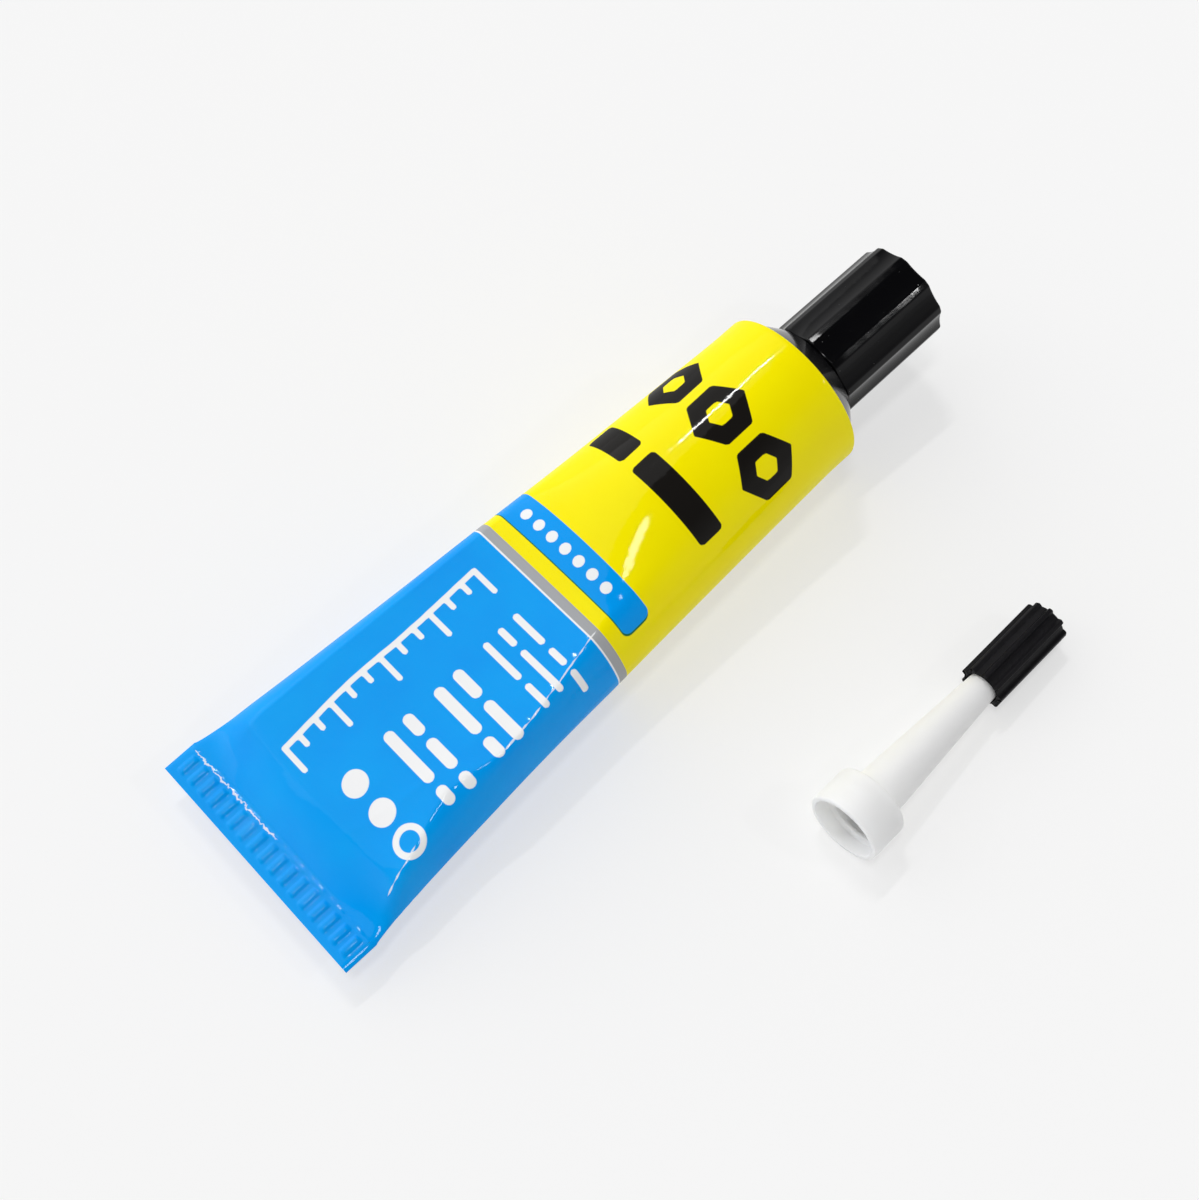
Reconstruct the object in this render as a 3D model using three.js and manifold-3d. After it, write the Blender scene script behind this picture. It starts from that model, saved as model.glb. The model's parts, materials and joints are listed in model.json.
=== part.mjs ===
// A squeeze tube of cement lying on its side, with its screw cap on,
// and beside it the loose applicator nozzle that screws on in the cap's place.

import * as THREE from 'three';
import { mergeVertices } from 'three/addons/utils/BufferGeometryUtils.js';
import Module from 'manifold-3d';

const wasm = await Module();
wasm.setup();

// Driving dimensions, in millimetres. Angles are in degrees.

// Laminate sleeve: round at the rim, pressed flat and welded at the tail.
const sleeveDiameter = 25;
const sleeveLength = 101;
const sleeveWall = 0.45;
const rimRounding = 0.4;
const tailHeight = 5.5;
const tailSlope = 38;
const taperPower = 0.7;
const edgeSharpness = 2;
const edgeFade = 0.5;

// Soft half of the sleeve: its top is pressed flat between two knees, and the flanks fall from there.
const pressStart = 15;
const pressFade = 48;
const pressEnd = 72;
const pressedShare = 0.77;
const kneeShare = 0.76;
const flankBulge = 1.4;

// Tail weld: a flat band with a row of pressed ribs and a plain margin at each end.
const sealLength = 5.2;
const sealMargin = 2.6;
const sealRibCount = 20;
const sealRibHeight = 0.3;

// Shoulder: a moulded cone that plugs the sleeve and carries the neck.
const shoulderSkirt = 4;
const shoulderWall = 1;
const shoulderRise = 3.4;
const seatDiameter = 16.4;

// Neck and its thread, which the cap and the nozzle share.
const neckLength = 9;
const neckBore = 4.6;
const neckWall = 1.3;
const threadDepth = 0.9;
const threadPitch = 2;
const threadRootWidth = 1;
const threadCrestWidth = 0.4;
const threadStart = 1.4;
const threadSink = 0.3;
const membraneThickness = 0.25;

// Screw cap: ten hollow-ground facets between narrow corner lands.
const capLength = 19.4;
const capCornerDiameter = 15.7;
const capDraft = 0.1;
const capFacetCount = 10;
const capFacetHollow = 0.22;
const capLandWidth = 1.1;
const capFirstCorner = 16;
const capEdgeBevel = 0.4;
const capRoof = 1.6;
const linerThickness = 1;
const recessDiameter = 10;
const spikeDiameter = 3.2;
const spikeHeight = 3;

// Applicator nozzle: a threaded collar and a long hollow cone.
const collarWall = 0.7;
const collarLength = 6.1;
const collarWeb = 1;
const collarRounding = 0.5;
const mouthBevel = 0.3;
const coneLength = 34;
const coneBaseDiameter = 7.2;
const coneWall = 1.2;
const coneFillet = 0.9;
const tipDiameter = 3.1;
const tipBore = 1.2;

// The nozzle's small ribbed cap.
const tipCapWall = 0.35;
const tipCapReach = 11.2;
const tipCapEnd = 3.1;
const tipCapRibCount = 9;
const tipCapRibHeight = 0.55;
const tipCapRibWidth = 0.9;

// Where the nozzle lies: its mouth, seen from the tail of the tube, and its heading.
const nozzleMouthX = 59.8;
const nozzleMouthY = -50;
const nozzleHeading = 3;

// Clearance between pieces, and how far shapes run past each other where they join or cut.
const fitGap = 0.3;
const overlap = 0.5;

// Facet counts and numeric limits.
const sleeveSegments = 48;
const sleeveStations = 20;
const stationCrowding = 1.6;
const roundSegments = 40;
const threadStepsPerTurn = 20;
const threadFade = 0.3;
const edgeSteps = 4;
const mergeDistance = 1e-5;
const heightTolerance = 1e-4;

// Sizes that follow from the driving dimensions.
const sleeveRadius = sleeveDiameter / 2;
const sleevePerimeter = Math.PI * sleeveDiameter;
const sealHalfWidth = sleevePerimeter / 4;
const taperEnd = sleeveLength - shoulderSkirt - fitGap;
const restReach = Math.hypot(sleeveRadius, taperEnd);
const tubeTilt = Math.acos(tailHeight / restReach) - Math.atan2(taperEnd, sleeveRadius);
const threadCoreRadius = neckBore / 2 + neckWall;
const threadCrestRadius = threadCoreRadius + threadDepth;
const socketRadius = threadCrestRadius + fitGap;
const socketThreadRadius = threadCoreRadius + fitGap;
const seatX = sleeveLength + shoulderRise;
const neckTopX = seatX + neckLength;
const membraneX = neckTopX + fitGap;
const linerX = membraneX + membraneThickness + fitGap;
const capBaseX = seatX + fitGap;
const capBoreEndX = linerX + linerThickness + fitGap;
const capEndX = capBaseX + capLength;
const collarRadius = socketRadius + collarWall;
const nozzleLength = collarLength + coneLength;
const tipCapMouthX = nozzleLength - tipCapReach;
const tipCapBoreEndX = nozzleLength + fitGap;
const tipCapEndX = tipCapBoreEndX + tipCapEnd;
const tipCapRadius = coneRadius(tipCapMouthX) + fitGap + tipCapWall;
const collarRestX = collarLength - collarRounding;
const nozzleTilt = Math.atan2(collarRadius - tipCapRestRadius(), tipCapEndX - collarRestX);

const black = new THREE.MeshStandardMaterial({ color: 0x0d0d10, roughness: 0.22, metalness: 0 });
const satinBlack = new THREE.MeshStandardMaterial({ color: 0x15141a, roughness: 0.45, metalness: 0 });
const printed = new THREE.MeshStandardMaterial({ color: 0x1597e6, roughness: 0.25, metalness: 0 });
const natural = new THREE.MeshStandardMaterial({ color: 0xf1f0ee, roughness: 0.4, metalness: 0 });
const clearGel = new THREE.MeshStandardMaterial({ color: 0xe6e2d2, roughness: 0.15, metalness: 0 });
const foil = new THREE.MeshStandardMaterial({ color: 0xc4c7cb, roughness: 0.3, metalness: 1 });
const wad = new THREE.MeshStandardMaterial({ color: 0xe9e9e4, roughness: 0.6, metalness: 0 });

// Closed solid from a geometry, with its faces turned outwards.
function solid(geometry) {
  const bare = geometry.clone();
  bare.deleteAttribute('normal');
  bare.deleteAttribute('uv');
  const merged = mergeVertices(bare, mergeDistance);
  const positions = merged.attributes.position.array;
  const corners = [];
  for (let i = 0; i < merged.index.count; i += 3) {
    const [a, b, c] = [0, 1, 2].map((k) => merged.index.getX(i + k));
    if (a !== b && b !== c && c !== a) {
      corners.push(a, b, c);
    }
  }
  if (signedVolume(positions, corners) < 0) {
    corners.reverse();
  }
  return new wasm.Manifold(new wasm.Mesh({
    numProp: 3,
    vertProperties: new Float32Array(positions),
    triVerts: new Uint32Array(corners),
  }));
}

function signedVolume(positions, corners) {
  const point = (i) => new THREE.Vector3().fromArray(positions, 3 * i);
  let volume = 0;
  for (let i = 0; i < corners.length; i += 3) {
    const [a, b, c] = [point(corners[i]), point(corners[i + 1]), point(corners[i + 2])];
    volume += a.dot(b.cross(c)) / 6;
  }
  return volume;
}

function geometryOf(body) {
  const mesh = body.getMesh();
  const geometry = new THREE.BufferGeometry();
  geometry.setAttribute('position', new THREE.BufferAttribute(mesh.vertProperties, 3));
  geometry.setIndex(new THREE.BufferAttribute(mesh.triVerts, 1));
  return geometry;
}

function piece(name, body, material) {
  const mesh = new THREE.Mesh(geometryOf(body), material);
  mesh.name = name;
  return mesh;
}

// Closed surface through rings with equal point counts, with a fan over each end.
function loft(rings) {
  const count = rings[0].length;
  const centre = (ring) => ring.reduce((sum, p) => sum.add(p), new THREE.Vector3()).divideScalar(count);
  const points = [...rings.flat(), centre(rings[0]), centre(rings.at(-1))];
  const first = rings.length * count;
  const last = (rings.length - 1) * count;
  const index = [];
  for (let j = 0; j < count; j += 1) {
    const next = (j + 1) % count;
    for (let i = 0; i < last; i += count) {
      index.push(i + j, i + next, i + count + j);
      index.push(i + next, i + count + next, i + count + j);
    }
    index.push(first, next, j);
    index.push(first + 1, last + j, last + next);
  }
  const geometry = new THREE.BufferGeometry().setFromPoints(points);
  geometry.setIndex(index);
  return geometry;
}

// Body of revolution about the X axis from pairs of place along the axis and radius.
function turned(profile) {
  const outline = profile.map(([x, radius]) => new THREE.Vector2(radius, x));
  return new THREE.LatheGeometry(outline, roundSegments).rotateZ(-Math.PI / 2);
}

// Angles of the steps of a rounded edge.
function quarterTurn() {
  return Array.from({ length: edgeSteps + 1 }, (_, i) => (Math.PI / 2) * (i / edgeSteps));
}

// Helical ridge with faded ends, standing on a wall of the given radius.
function threadRidge(wallRadius, ridgeRadius, startX, turns) {
  const buried = wallRadius + Math.sign(wallRadius - ridgeRadius) * threadSink;
  const steps = Math.round(turns * threadStepsPerTurn);
  const rings = [];
  for (let i = 0; i <= steps; i += 1) {
    const turn = (turns * i) / steps;
    const rise = Math.min(1, turn / threadFade, (turns - turn) / threadFade);
    const top = THREE.MathUtils.lerp(wallRadius, ridgeRadius, rise);
    const angle = 2 * Math.PI * turn;
    const at = (shift, radius) => new THREE.Vector3(
      startX + threadPitch * turn + shift,
      radius * Math.cos(angle),
      radius * Math.sin(angle),
    );
    rings.push([
      at(-threadRootWidth / 2, buried),
      at(threadRootWidth / 2, buried),
      at(threadCrestWidth / 2, top),
      at(-threadCrestWidth / 2, top),
    ]);
  }
  return solid(loft(rings));
}

// Share of the way from the weld to the round end.
function taper(x) {
  return THREE.MathUtils.clamp((x - sealLength) / (taperEnd - sealLength), 0, 1);
}

function sectionHalfWidth(x) {
  return THREE.MathUtils.lerp(sealHalfWidth, sleeveRadius, taper(x) ** taperPower);
}

// The section has pointed edges by the weld and becomes a true ellipse towards the rim.
function sectionSharpness(x) {
  return THREE.MathUtils.lerp(edgeSharpness, 1, Math.min(1, taper(x) / edgeFade));
}

// How far the top is pressed flat at x, from 0 to 1.
function sectionPress(x) {
  const { smoothstep } = THREE.MathUtils;
  return smoothstep(x, sealLength, pressStart) * (1 - smoothstep(x, pressFade, pressEnd));
}

function sectionPoint(halfWidth, halfHeight, sharpness, press, angle) {
  const lens = Math.abs(Math.sin(angle)) ** sharpness;
  const side = Math.max(0, Math.abs(Math.cos(angle)) - kneeShare) / (1 - kneeShare);
  const flat = pressedShare * Math.max(0, 1 - side ** flankBulge) ** (1 / flankBulge);
  const lift = Math.sin(angle) > 0 ? THREE.MathUtils.lerp(lens, flat, press) : -lens;
  return new THREE.Vector2(halfWidth * Math.cos(angle), halfHeight * lift);
}

function unpressedPerimeter(halfWidth, halfHeight, sharpness) {
  let length = 0;
  for (let j = 0; j < sleeveSegments; j += 1) {
    const here = sectionPoint(halfWidth, halfHeight, sharpness, 0, (2 * Math.PI * j) / sleeveSegments);
    const next = sectionPoint(halfWidth, halfHeight, sharpness, 0, (2 * Math.PI * (j + 1)) / sleeveSegments);
    length += here.distanceTo(next);
  }
  return length;
}

// The sheet doesn't stretch, so each section has the same girth before it is pressed, and the height follows,
// apart from the tail, where the sheet leaves the weld at a set slope.
function sectionHalfHeight(x) {
  const girth = unpressedPerimeter(sleeveRadius, sleeveRadius, 1);
  const slope = Math.tan(THREE.MathUtils.degToRad(tailSlope));
  const tailLimit = sleeveWall + slope * Math.max(0, x - sealLength);
  let low = sleeveWall;
  let high = sleeveRadius;
  while (high - low > heightTolerance) {
    const middle = (low + high) / 2;
    if (unpressedPerimeter(sectionHalfWidth(x), middle, sectionSharpness(x)) < girth) {
      low = middle;
    } else {
      high = middle;
    }
  }
  return Math.min(high, tailLimit);
}

// Ring of the sleeve at x, moved in from the outside by inset and flat where it rests.
function sleeveRing(x, inset) {
  const sharpness = sectionSharpness(x);
  const halfWidth = sectionHalfWidth(x) - inset * (2 * sharpness - 1);
  const halfHeight = sectionHalfHeight(x) - inset;
  const floor = inset - (tailHeight + x * Math.sin(tubeTilt)) / Math.cos(tubeTilt);
  const ring = [];
  for (let j = 0; j < sleeveSegments; j += 1) {
    const p = sectionPoint(halfWidth, halfHeight, sharpness, sectionPress(x), (2 * Math.PI * j) / sleeveSegments);
    ring.push(new THREE.Vector3(x, p.x, Math.max(p.y, floor)));
  }
  return ring;
}

// Places of the rings, closest together by the weld where the shape changes fastest.
function stationsBetween(start, end) {
  const places = [];
  for (let i = 0; i <= sleeveStations; i += 1) {
    places.push(start + (end - start) * (i / sleeveStations) ** stationCrowding);
  }
  return places;
}

// Welded band: a corrugated plate of two thicknesses of the wall.
function sealBand() {
  const ribPitch = (2 * (sealHalfWidth - sealMargin)) / sealRibCount;
  const wave = [[-sealHalfWidth, 0]];
  for (let i = 0; i < sealRibCount; i += 1) {
    const start = sealMargin - sealHalfWidth + i * ribPitch;
    wave.push([start, 0]);
    wave.push([start + ribPitch / 4, sealRibHeight]);
    wave.push([start + ribPitch / 2, sealRibHeight]);
    wave.push([start + (3 * ribPitch) / 4, 0]);
  }
  wave.push([sealHalfWidth, 0]);
  const upper = wave.map(([y, lift]) => new THREE.Vector2(y, lift + sleeveWall));
  const lower = wave.map(([y, lift]) => new THREE.Vector2(y, lift - sleeveWall)).reverse();
  const band = new THREE.ExtrudeGeometry(new THREE.Shape([...upper, ...lower]), {
    depth: sealLength,
    bevelEnabled: false,
  });
  const across = new THREE.Vector3(0, 1, 0);
  const up = new THREE.Vector3(0, 0, 1);
  const along = new THREE.Vector3(1, 0, 0);
  return solid(band.applyMatrix4(new THREE.Matrix4().makeBasis(across, up, along)));
}

function sleeve() {
  const rings = [sleeveRing(sealLength - overlap, 0)];
  for (const x of stationsBetween(sealLength, taperEnd)) {
    rings.push(sleeveRing(x, 0));
  }
  for (const angle of quarterTurn()) {
    const x = sleeveLength - rimRounding * (1 - Math.sin(angle));
    rings.push(sleeveRing(x, rimRounding * (1 - Math.cos(angle))));
  }
  const bore = [];
  for (const x of stationsBetween(sealLength + overlap, taperEnd)) {
    bore.push(sleeveRing(x, sleeveWall));
  }
  bore.push(sleeveRing(sleeveLength + overlap, sleeveWall));
  return solid(loft(rings)).add(sealBand()).subtract(solid(loft(bore)));
}

function cementFill() {
  const inset = sleeveWall + fitGap;
  const rings = [];
  for (const x of stationsBetween(sealLength + 2 * overlap, taperEnd)) {
    rings.push(sleeveRing(x, inset));
  }
  return solid(loft(rings));
}

function shoulderNeck() {
  const skirtRadius = sleeveRadius - sleeveWall - fitGap;
  const skirtX = sleeveLength - shoulderSkirt;
  const skirtInside = skirtRadius - shoulderWall;
  const coneDrop = shoulderWall * Math.SQRT2;
  const body = solid(turned([
    [skirtX, skirtInside],
    [skirtX, skirtRadius],
    [sleeveLength, skirtRadius],
    [seatX, seatDiameter / 2],
    [seatX, threadCoreRadius],
    [neckTopX, threadCoreRadius],
    [neckTopX, neckBore / 2],
    [seatX - coneDrop, neckBore / 2],
    [seatX - coneDrop, seatDiameter / 2 - shoulderWall],
    [sleeveLength - coneDrop, skirtInside],
    [skirtX, skirtInside],
  ]));
  const turns = (neckLength - 2 * threadStart) / threadPitch;
  return body.add(threadRidge(threadCoreRadius, threadCrestRadius, seatX + threadStart, turns));
}

function disc(x, thickness, radius) {
  return solid(turned([[x, 0], [x, radius], [x + thickness, radius], [x + thickness, 0]]));
}

// Outline of the cap: concave facets between the flat lands at its corners.
function capOutline(cornerRadius) {
  const landHalfAngle = Math.asin(capLandWidth / 2 / cornerRadius);
  const facetAngle = (2 * Math.PI) / capFacetCount;
  const first = THREE.MathUtils.degToRad(capFirstCorner);
  const onCorner = (angle) => new THREE.Vector2(Math.cos(angle), Math.sin(angle)).multiplyScalar(cornerRadius);
  const shape = new THREE.Shape();
  for (let i = 0; i < capFacetCount; i += 1) {
    const corner = first + i * facetAngle;
    const start = onCorner(corner - landHalfAngle);
    const leave = onCorner(corner + landHalfAngle);
    const arrive = onCorner(corner + facetAngle - landHalfAngle);
    const hollow = leave.clone().add(arrive).multiplyScalar(0.5);
    hollow.setLength(hollow.length() - 2 * capFacetHollow);
    if (i === 0) {
      shape.moveTo(start.x, start.y);
    }
    shape.lineTo(leave.x, leave.y);
    shape.quadraticCurveTo(hollow.x, hollow.y, arrive.x, arrive.y);
  }
  return shape.getPoints(edgeSteps).slice(0, -1);
}

function screwCap() {
  const cornerRadius = capCornerDiameter / 2;
  const levels = [
    [capBaseX, cornerRadius - capEdgeBevel],
    [capBaseX + capEdgeBevel, cornerRadius],
    [capEndX - capEdgeBevel, cornerRadius - capDraft],
    [capEndX, cornerRadius - capDraft - capEdgeBevel],
  ];
  const body = solid(loft(levels.map(([x, radius]) => (
    capOutline(radius).map((p) => new THREE.Vector3(x, p.x, p.y))
  ))));
  const bore = disc(capBaseX - overlap, capBoreEndX - capBaseX + overlap, socketRadius);
  const recessX = capBoreEndX + capRoof;
  const recess = disc(recessX, capEndX - recessX + overlap, recessDiameter / 2);
  const spike = solid(turned([
    [recessX - overlap, 0],
    [recessX - overlap, spikeDiameter / 2],
    [recessX, spikeDiameter / 2],
    [recessX + spikeHeight, 0],
  ]));
  const turns = (neckLength - 2 * threadStart) / threadPitch - 1;
  const ridgeX = seatX + threadStart + threadPitch / 2;
  const ridge = threadRidge(socketRadius, socketThreadRadius, ridgeX, turns);
  return body.subtract(bore).subtract(recess).add(spike).add(ridge);
}

// The nozzle's own axis runs along X from the mouth of its collar to its tip.
function coneRadius(x) {
  const share = (x - collarLength) / coneLength;
  return THREE.MathUtils.lerp(coneBaseDiameter, tipDiameter, share) / 2;
}

function nozzle() {
  const socketDepth = collarLength - collarWeb;
  const boreRadius = coneBaseDiameter / 2 - coneWall;
  const fillet = Math.min(coneFillet, collarRadius - collarRounding - coneBaseDiameter / 2);
  const outline = [
    [0, socketRadius],
    [0, collarRadius - mouthBevel],
    [mouthBevel, collarRadius],
  ];
  for (const angle of quarterTurn()) {
    outline.push([
      collarLength - collarRounding * (1 - Math.sin(angle)),
      collarRadius - collarRounding * (1 - Math.cos(angle)),
    ]);
  }
  for (const angle of quarterTurn()) {
    const x = collarLength + fillet * (1 - Math.cos(angle));
    outline.push([x, coneRadius(x) + fillet * (1 - Math.sin(angle))]);
  }
  outline.push([nozzleLength, tipDiameter / 2]);
  outline.push([nozzleLength, tipBore / 2]);
  outline.push([collarLength, boreRadius]);
  outline.push([socketDepth, boreRadius]);
  outline.push([socketDepth, socketRadius]);
  outline.push([0, socketRadius]);
  const turns = (socketDepth - threadRootWidth) / threadPitch - threadFade;
  const ridge = threadRidge(socketRadius, socketThreadRadius, threadRootWidth, turns);
  return solid(turned(outline)).add(ridge);
}

function tipCapRibAngles() {
  return Array.from({ length: tipCapRibCount }, (_, i) => (2 * Math.PI * i) / tipCapRibCount);
}

// Height of the small cap's axis when it lies on its lowest ribs, one rib being on top.
function tipCapRestRadius() {
  const reach = tipCapRadius + tipCapRibHeight;
  const depths = tipCapRibAngles().map((angle) => (
    (tipCapRibWidth / 2) * Math.abs(Math.sin(angle)) - reach * Math.cos(angle)
  ));
  return Math.max(...depths);
}

function nozzleCap() {
  const length = tipCapEndX - tipCapMouthX;
  const rib = new THREE.BoxGeometry(length, tipCapRibWidth, 2 * tipCapRibHeight);
  rib.translate(tipCapMouthX + length / 2, 0, tipCapRadius);
  let body = disc(tipCapMouthX, length, tipCapRadius);
  for (const angle of tipCapRibAngles()) {
    body = body.add(solid(rib.clone().rotateX(angle)));
  }
  return body.subtract(solid(turned([
    [tipCapMouthX - overlap, 0],
    [tipCapMouthX - overlap, coneRadius(tipCapMouthX - overlap) + fitGap],
    [tipCapBoreEndX, coneRadius(tipCapBoreEndX) + fitGap],
    [tipCapBoreEndX, 0],
  ])));
}

// The tube lies on its belly with its tail raised, and its axis climbs towards the cap.
const tube = new THREE.Group();
tube.position.z = tailHeight;
tube.rotation.y = -tubeTilt;
tube.add(
  piece('sleeve', sleeve(), printed),
  piece('shoulder_neck', shoulderNeck(), black),
  piece('neck_membrane', disc(membraneX, membraneThickness, threadCoreRadius), foil),
  piece('cement_fill', cementFill(), clearGel),
  piece('screw_cap', screwCap(), black),
  piece('cap_liner', disc(linerX, linerThickness, socketRadius - fitGap), wad),
);

// The nozzle rests on the edge of its collar and on the ribs of its small cap.
const applicator = new THREE.Group();
const mouthHeight = collarRadius * Math.cos(nozzleTilt) + collarRestX * Math.sin(nozzleTilt);
applicator.position.set(nozzleMouthX, nozzleMouthY, mouthHeight);
applicator.rotation.order = 'ZYX';
applicator.rotation.z = THREE.MathUtils.degToRad(nozzleHeading);
applicator.rotation.y = nozzleTilt;
applicator.add(
  piece('nozzle', nozzle(), natural),
  piece('nozzle_cap', nozzleCap(), satinBlack),
);

// The origin is on the table under the middle of the whole set.
const cementTube = new THREE.Group();
cementTube.add(tube, applicator);
const reach = new THREE.Box3().setFromObject(cementTube, true);
const middle = reach.getCenter(new THREE.Vector3());
cementTube.position.set(-middle.x, -middle.y, -reach.min.z);

export default cementTube;
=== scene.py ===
import json
import math

import bmesh
import bpy
import numpy as np
from mathutils import Matrix, Vector

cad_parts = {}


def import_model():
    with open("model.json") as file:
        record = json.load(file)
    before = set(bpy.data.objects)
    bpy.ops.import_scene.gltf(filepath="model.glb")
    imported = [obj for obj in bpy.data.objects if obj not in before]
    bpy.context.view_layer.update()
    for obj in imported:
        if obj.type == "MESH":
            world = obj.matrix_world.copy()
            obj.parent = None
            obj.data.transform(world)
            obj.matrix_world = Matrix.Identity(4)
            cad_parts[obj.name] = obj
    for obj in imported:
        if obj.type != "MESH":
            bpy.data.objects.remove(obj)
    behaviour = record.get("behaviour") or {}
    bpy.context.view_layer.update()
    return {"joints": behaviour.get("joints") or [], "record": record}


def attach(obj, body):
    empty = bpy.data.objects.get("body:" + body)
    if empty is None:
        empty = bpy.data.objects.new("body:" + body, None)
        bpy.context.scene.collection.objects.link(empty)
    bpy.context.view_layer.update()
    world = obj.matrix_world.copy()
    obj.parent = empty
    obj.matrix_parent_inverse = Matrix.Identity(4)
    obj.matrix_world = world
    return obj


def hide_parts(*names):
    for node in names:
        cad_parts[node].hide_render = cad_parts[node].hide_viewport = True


# A squeeze tube of cement lying on a pale table, with its loose applicator nozzle beside it.
# Sizes are in millimetres and angles in degrees, and MM turns a length into metres.

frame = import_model()

MM = 0.001

# Sleeve: round at the rim, pressed flat and welded at the tail.
SLEEVE_RADIUS = 12.5
SLEEVE_LENGTH = 101.0
SLEEVE_WALL = 0.45
GIRTH = 2 * math.pi * SLEEVE_RADIUS
RIM_ROUNDING = 0.4
SKIRT_LENGTH = 4.0
FIT_GAP = 0.3
TAPER_END = SLEEVE_LENGTH - SKIRT_LENGTH - FIT_GAP
TAPER_POWER = 0.7
TAIL_SLOPE = 38.0
EDGE_SHARPNESS = 2.0
EDGE_FADE = 0.5
FOLD_SQUARENESS = 24

# Tail weld with its row of pressed ribs.
SEAL_LENGTH = 5.2
SEAL_HALF_WIDTH = GIRTH / 4
SEAL_MARGIN = 1.1
SEAL_RIB_COUNT = 17
SEAL_RIB_HEIGHT = 0.3

# Shoulder, neck and thread.
SHOULDER_WALL = 1.0
SEAT_X = SLEEVE_LENGTH + 3.4
SEAT_RADIUS = 8.2
NECK_LENGTH = 9.0
NECK_BORE_RADIUS = 2.3
THREAD_CORE_RADIUS = 3.6
THREAD_DEPTH = 0.9
THREAD_PITCH = 2.0
THREAD_ROOT_WIDTH = 1.0
THREAD_CREST_WIDTH = 0.4
THREAD_START = 1.4
THREAD_FADE = 0.6
SOCKET_RADIUS = THREAD_CORE_RADIUS + THREAD_DEPTH + FIT_GAP
MEMBRANE_THICKNESS = 0.25
LINER_THICKNESS = 1.0
MEMBRANE_X = SEAT_X + NECK_LENGTH + FIT_GAP
LINER_X = MEMBRANE_X + MEMBRANE_THICKNESS + FIT_GAP

# Screw cap with ten hollow facets.
CAP_BASE_X = SEAT_X + FIT_GAP
CAP_END_X = CAP_BASE_X + 19.4
CAP_BORE_END_X = LINER_X + LINER_THICKNESS + FIT_GAP
CAP_RECESS_X = CAP_BORE_END_X + 1.6
CAP_CORNER_RADIUS = 7.85
CAP_DRAFT = 0.1
CAP_FACETS = 10
CAP_FACET_HOLLOW = 0.22
CAP_LAND_WIDTH = 1.1
CAP_FIRST_CORNER = 16.0
CAP_EDGE = 0.4
RECESS_RADIUS = 5.0
SPIKE_RADIUS = 1.6
SPIKE_HEIGHT = 3.0

# Applicator nozzle, along its own axis from the mouth of its collar.
COLLAR_RADIUS = SOCKET_RADIUS + 0.7
COLLAR_LENGTH = 6.1
COLLAR_WEB = 1.0
NOZZLE_LENGTH = COLLAR_LENGTH + 34.0
CONE_BASE_RADIUS = 3.6
CONE_WALL = 1.2
TIP_RADIUS = 1.55
TIP_BORE_RADIUS = 0.6
MOUTH_BEVEL = 0.3
NOZZLE_THREAD_X = 1.3

# The nozzle's small ribbed cap.
TIP_CAP_MOUTH_X = NOZZLE_LENGTH - 11.2
TIP_CAP_BORE_END_X = NOZZLE_LENGTH + FIT_GAP
TIP_CAP_END_X = TIP_CAP_BORE_END_X + 3.1
TIP_CAP_WALL = 0.35
TIP_CAP_RIBS = 9
TIP_CAP_RIB_HEIGHT = 0.55
TIP_CAP_RIB_WIDTH = 0.9

# Facet counts.
SLEEVE_COLUMNS = 352
SECTION_SAMPLES = 1440
HEIGHT_STEPS = 16
TURNED_COLUMNS = 144
CAP_COLUMNS = 480
TIP_CAP_COLUMNS = 288
ROUND_STEPS = 5
THREAD_STEP = 0.1
SHARP_ANGLE = 50.0


def joint(name):
    return next(j for j in frame["joints"] if j["name"] == name)


def mount(name):
    return next(m for m in frame["record"]["mounts"] if m["name"] == name)


def placement(origin, along, across):
    """Matrix from a piece's own millimetres to the frame's metres."""
    x = Vector(along).normalized()
    y = Vector(across).normalized()
    turn = Matrix((x, y, x.cross(y))).transposed().to_4x4()
    return Matrix.Translation(origin) @ turn @ Matrix.Scale(MM, 4)


def tube_placement():
    along = Vector(joint("cap_turn")["axis"])
    origin = Vector(joint("cap_turn")["pos_m"]) - along * CAP_BASE_X * MM
    return placement(origin, along, (0, 1, 0))


def nozzle_placement():
    along = Vector(joint("nozzle_cap_pull")["axis"])
    across = Vector((0, 0, 1)).cross(along).normalized()
    rim_middle = (SOCKET_RADIUS + COLLAR_RADIUS - MOUTH_BEVEL) / 2
    origin = Vector(mount("nozzle_mouth")["pos_m"]) - along.cross(across) * rim_middle * MM
    return placement(origin, along, across)


TUBE = tube_placement()
NOZZLE = nozzle_placement()


def smooth_step(value, start, end):
    share = np.clip((value - start) / (end - start), 0, 1)
    return share * share * (3 - 2 * share)


def faded_span(value, start, end, fade):
    """1 between start and end, falling to 0 at both of them over a length of fade."""
    return smooth_step(value, start, start + fade) * smooth_step(-value, -end, fade - end)


# Meshes


def grid_faces(rings, columns, closed):
    """Quads between neighbouring rings, and from the last ring back to the first if closed."""
    i = np.arange(rings if closed else rings - 1)[:, None]
    j = np.arange(columns)[None, :]
    after = ((i + 1) % rings) * columns
    beside = (j + 1) % columns
    quads = np.stack([i * columns + j, i * columns + beside, after + beside, after + j], -1)
    return quads.reshape(-1, 4).tolist()


def fan_faces(first, columns, tip):
    return [(first + j, first + (j + 1) % columns, tip) for j in range(columns)]


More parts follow.
